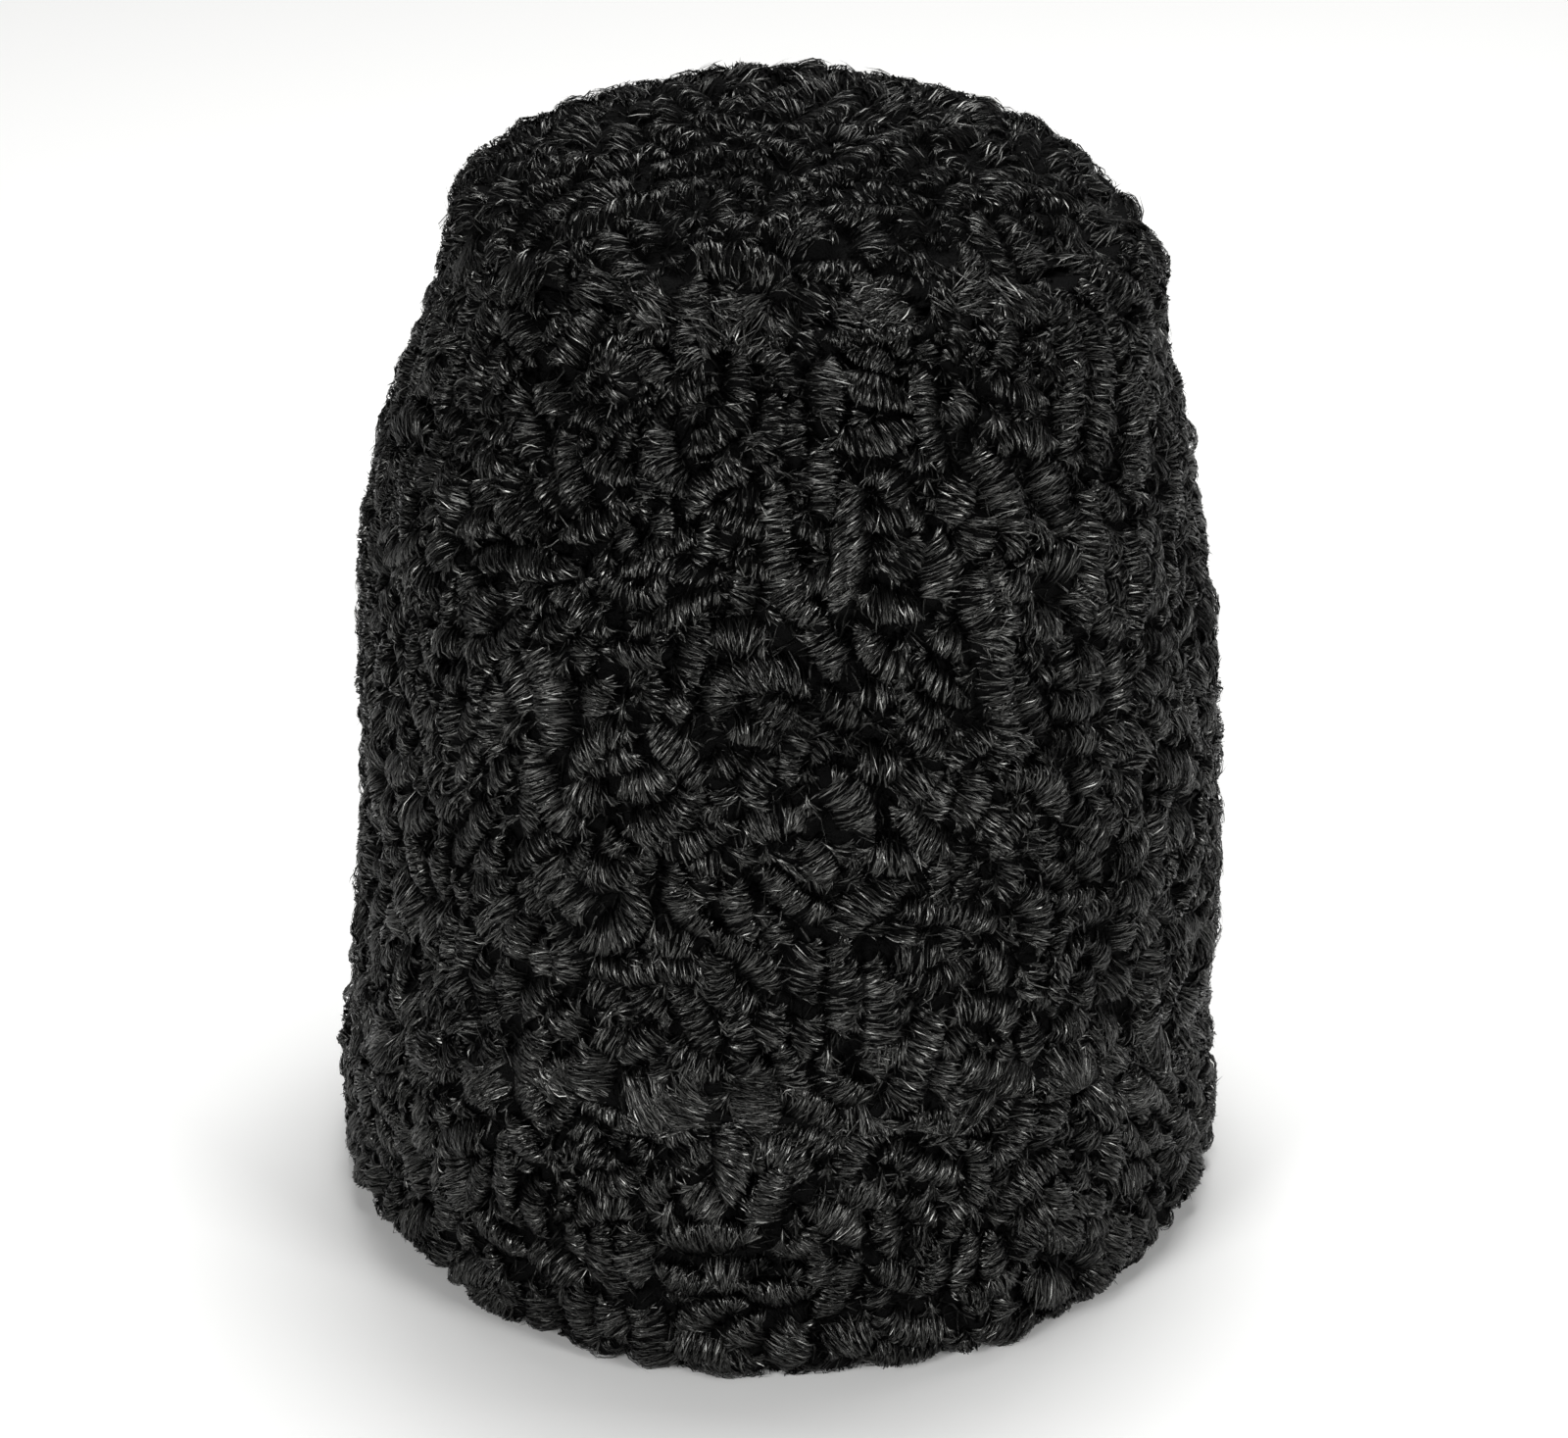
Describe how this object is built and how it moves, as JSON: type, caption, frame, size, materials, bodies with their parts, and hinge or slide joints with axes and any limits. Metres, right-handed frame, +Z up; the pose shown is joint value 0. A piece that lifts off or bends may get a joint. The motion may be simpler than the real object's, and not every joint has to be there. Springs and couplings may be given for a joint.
{
  "type": "turkmen telpek hat",
  "caption": "Tall black curly-lamb fur hat with a low domed crown, a softly tapering wall and a broad fur cuff round the rim, open inside for the head.",
  "frame": {"origin": "on the surface the hat rests on, under the middle of the rim", "axes": "+Z up through the crown, -Y out of the front, +X to the right when looking at the front"},
  "size_m": [0.2197, 0.2436, 0.2763],
  "materials": {
    "crown_fur": "black curly lamb fur, longer and smoother hair, soft gloss",
    "wall_fur": "black curly lamb fur, tight glossy worm-like curls",
    "cuff_fur": "black curly lamb fur, larger rolled curls, soft gloss"
  },
  "bodies": {
    "root": {"crown_top": "crown_fur", "side_wall": "wall_fur", "cuff": "cuff_fur"}
  },
  "joints": []
}
